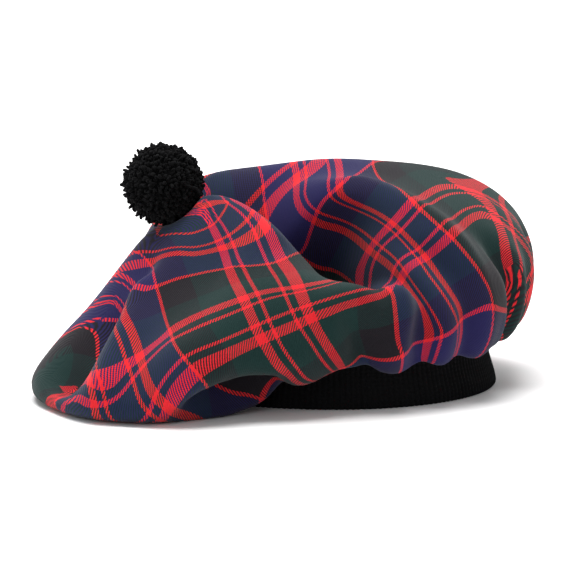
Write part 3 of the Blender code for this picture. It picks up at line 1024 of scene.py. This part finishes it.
# %% [markdown]
# ## The toorie
#
# More than a thousand cut ends of yarn stand out from a round head, each a short bent cord with a blunt
# tip. They are spread evenly by the golden angle, then nudged, tilted and cut to uneven lengths. Each
# row of `STRAY_ENDS` gives the direction of an end that was cut too long, and how far it sticks out.

# %% Toorie
YARN_COUNT = 1300
YARN_RADIUS = 0.00088
YARN_DEPTH = 0.0055
YARN_SIDES = 7
YARN_RINGS = ((0.0, 1.0), (0.4, 1.0), (0.72, 1.06), (0.9, 0.92), (0.98, 0.62), (1.0, 0.22))
STRAY_ENDS = ((-0.60, 0.30, 0.74, 0.0022), (-0.72, -0.25, -0.50, 0.0012), (0.45, -0.50, 0.70, 0.0008))
NUDGE, TILT, BEND_ASIDE = 0.018, 0.0006, 0.0004
CUT_SHORT, CUT_LONG, HEAD_SWELL = 0.0012, 0.0004, 0.0006
CORE_INSET = 0.0030
SEED = 11


def yarn_ends(random):
    """Roots, tips and side bends of the strands, as three arrays of points.

    Heights fall in even steps from top to bottom while the turn grows by the golden angle, and a
    sum of three sines lifts and lowers the trimmed surface a little.
    """
    middle, radius = (TOORIE_LOW + TOORIE_HIGH) / 2, (TOORIE_HIGH - TOORIE_LOW).mean() / 2
    k = np.arange(YARN_COUNT) + 0.5
    height, turn = 1 - 2 * k / YARN_COUNT, k * math.pi * (3 - math.sqrt(5))
    flat = np.sqrt(1 - height**2)
    out = np.stack([flat * np.cos(turn), flat * np.sin(turn), height], 1)
    out += random.normal(0, NUDGE, out.shape)
    out /= np.linalg.norm(out, axis=1, keepdims=True)
    swell = 0.35 * np.sin(5 * out[:, 0] + 2) + 0.35 * np.sin(6 * out[:, 1]) + 0.3 * np.sin(5 * out[:, 2] + 1)
    reach = radius - HEAD_SWELL + HEAD_SWELL * swell + random.uniform(-CUT_SHORT, CUT_LONG, YARN_COUNT)
    for x, y, z, extra in STRAY_ENDS:
        nearest = (out @ np.array([x, y, z])).argmax()
        reach[nearest] = radius + extra
    root = middle + out * (radius - YARN_DEPTH)
    tilt = random.normal(0, TILT, out.shape)
    tip = middle + out * reach[:, None] + tilt
    bend = random.normal(0, BEND_ASIDE, out.shape)
    return root, tip, bend


tips = yarn_ends(np.random.default_rng(SEED))[1]
print(YARN_COUNT, "ends of yarn, the highest at", tips[:, 2].max().round(4))


# %% Toorie mesh
def toorie_mesh():
    """One closed cord of a few rings for each end of yarn, and a ball that closes the gaps between.

    A ring's centre runs from root to tip and bends aside by half a sine of the way.
    """
    random = np.random.default_rng(SEED)
    root, tip, bend = yarn_ends(random)
    axis = tip - root
    length = np.linalg.norm(axis, axis=1, keepdims=True)
    axis = axis / length
    side = np.cross(axis, np.where(np.abs(axis[:, 2:]) < 0.9, [[0.0, 0.0, 1.0]], [[1.0, 0.0, 0.0]]))
    side /= np.linalg.norm(side, axis=1, keepdims=True)
    other = np.cross(axis, side)
    thick = YARN_RADIUS * random.uniform(0.85, 1.12, (YARN_COUNT, 1))
    turn = np.linspace(0, 2 * math.pi, YARN_SIDES, endpoint=False)
    rings = []
    for share, width in YARN_RINGS:
        centre = root + axis * length * share + bend * math.sin(math.pi * share)
        for a in turn:
            rings.append(centre + thick * width * (math.cos(a) * side + math.sin(a) * other))
    vertices = np.stack(rings, 1)
    per = len(YARN_RINGS) * YARN_SIDES
    faces = []
    base = np.arange(YARN_COUNT)[:, None] * per
    s = np.arange(YARN_SIDES)
    t = (s + 1) % YARN_SIDES
    for ring in range(len(YARN_RINGS) - 1):
        near, far = ring * YARN_SIDES, (ring + 1) * YARN_SIDES
        quad = np.stack([near + s, near + t, far + t, far + s], -1)
        faces += (base[:, :, None] + quad[None]).reshape(-1, 4).tolist()
    top = (len(YARN_RINGS) - 1) * YARN_SIDES + s
    faces += (base + top[None]).tolist()
    faces += (base + s[None, ::-1]).tolist()
    mesh = bpy.data.meshes.new("yarn_toorie")
    mesh.from_pydata(vertices.reshape(-1, 3).tolist(), [], faces)
    shade = np.repeat(random.uniform(0, 1, YARN_COUNT), per)
    mesh.attributes.new("strand", "FLOAT", "POINT").data.foreach_set("value", shade)

    core = float(np.mean(TOORIE_HIGH - TOORIE_LOW)) / 2 - CORE_INSET
    ball = bmesh.new()
    ball.from_mesh(mesh)
    made = bmesh.ops.create_icosphere(ball, subdivisions=4, radius=core)
    bmesh.ops.translate(ball, verts=made["verts"], vec=Vector((TOORIE_LOW + TOORIE_HIGH) / 2))
    ball.to_mesh(mesh)
    ball.free()
    mesh.shade_smooth()
    return mesh


def wool_yarn():
    """Black wool: each strand has its own shade on a narrow ramp, and fine noise for its fibres."""
    material, tree, shader = new_material("wool_yarn", Roughness=0.92)
    shader.inputs["Specular IOR Level"].default_value = 0.1
    shader.inputs["Sheen Weight"].default_value = 0.02
    shader.inputs["Sheen Roughness"].default_value = 0.4
    strand = make_node(tree, "ShaderNodeAttribute", {"attribute_name": "strand"}, [], 2)
    stops = [(0.0, (0.0018, 0.0018, 0.002)), (1.0, (0.0055, 0.0055, 0.006))]
    colour = make_node(tree, "ShaderNodeValToRGB", {"stops": stops}, [strand])
    connect(tree, colour, shader, "Base Color")
    place = Socket(tree, tree.nodes.new("ShaderNodeTexCoord").outputs["Object"])
    fibre = make_node(tree, "ShaderNodeTexNoise", {}, {"Vector": place, "Scale": 2200.0, "Detail": 3.0})
    bump = make_node(tree, "ShaderNodeBump", {}, {"Strength": 0.7, "Distance": 0.0003, "Height": fibre})
    connect(tree, bump, shader, "Normal")
    return material


toorie = add_piece("yarn_toorie", toorie_mesh(), wool_yarn(), "toorie")
print("toorie", len(toorie.data.polygons), "faces")
